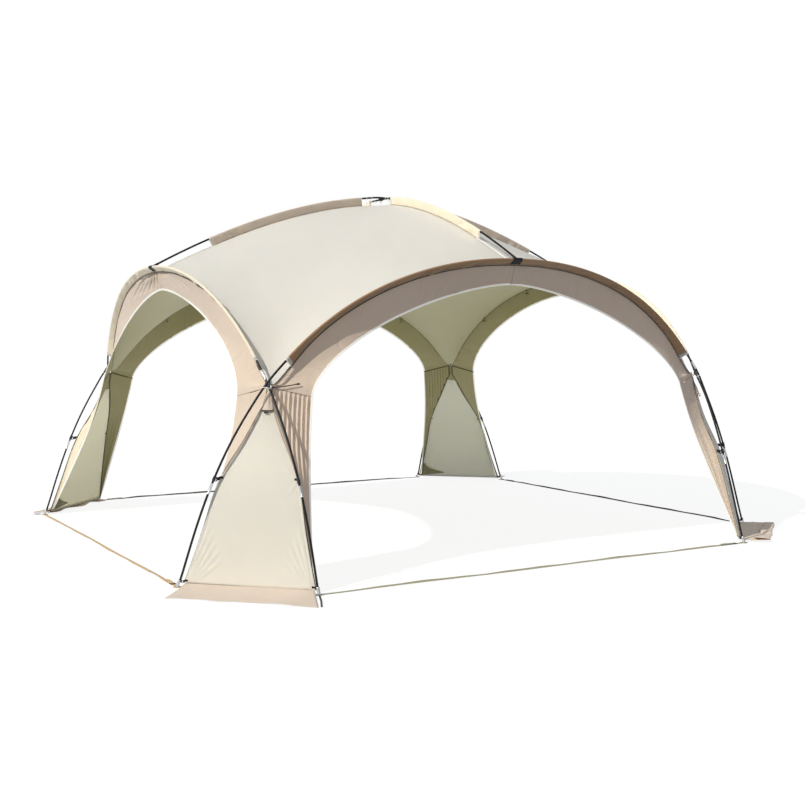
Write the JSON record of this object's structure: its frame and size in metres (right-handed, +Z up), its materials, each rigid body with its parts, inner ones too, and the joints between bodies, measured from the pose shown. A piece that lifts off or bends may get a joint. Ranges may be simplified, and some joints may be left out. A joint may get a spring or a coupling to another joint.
{
  "type": "dome canopy tent",
  "caption": "Open-sided dome canopy tent: four crossing arch poles and two roof poles carry a fabric roof with corner legs, arched openings and ground straps.",
  "frame": {"origin": "on the ground at the middle of the square that the pole feet stand on", "axes": "+Z up; -Y is the front, the side that faces the viewer most in the picture; +X is its right"},
  "size_m": [4.546, 4.546, 2.36],
  "materials": {
    "roof_cloth": "ivory coated polyester, plain weave",
    "border_cloth": "beige coated polyester, plain weave",
    "sleeve_cloth": "tan polyester pole sleeves",
    "webbing": "flat woven polyester webbing",
    "black_webbing": "black woven webbing pockets",
    "poles": "black powder-coated steel tube with bright ferrules",
    "clips": "black moulded nylon"
  },
  "bodies": {
    "root": {"front_arch_pole": "poles", "front_arch_sleeve": "sleeve_cloth", "front_opening_border": "border_cloth", "front_roof_sleeve": "border_cloth", "front_ground_strap": "webbing", "front_pole_pocket": "black_webbing", "right_arch_pole": "poles", "right_arch_sleeve": "sleeve_cloth", "right_opening_border": "border_cloth", "right_roof_sleeve": "border_cloth", "right_ground_strap": "webbing", "right_pole_pocket": "black_webbing", "back_arch_pole": "poles", "back_arch_sleeve": "sleeve_cloth", "back_opening_border": "border_cloth", "back_roof_sleeve": "border_cloth", "back_ground_strap": "webbing", "back_pole_pocket": "black_webbing", "left_arch_pole": "poles", "left_arch_sleeve": "sleeve_cloth", "left_opening_border": "border_cloth", "left_roof_sleeve": "border_cloth", "left_ground_strap": "webbing", "left_pole_pocket": "black_webbing", "roof_panel_front_left": "roof_cloth", "front_left_leg_panel": "roof_cloth", "front_left_skirt": "border_cloth", "front_left_crossing_clip": "clips", "roof_panel_front_right": "roof_cloth", "front_right_leg_panel": "roof_cloth", "front_right_skirt": "border_cloth", "front_right_crossing_clip": "clips", "roof_panel_back_right": "roof_cloth", "back_right_leg_panel": "roof_cloth", "back_right_skirt": "border_cloth", "back_right_crossing_clip": "clips", "roof_panel_back_left": "roof_cloth", "back_left_leg_panel": "roof_cloth", "back_left_skirt": "border_cloth", "back_left_crossing_clip": "clips", "front_back_roof_pole": "poles", "left_right_roof_pole": "poles", "centre_tie": "clips"}
  },
  "joints": []
}
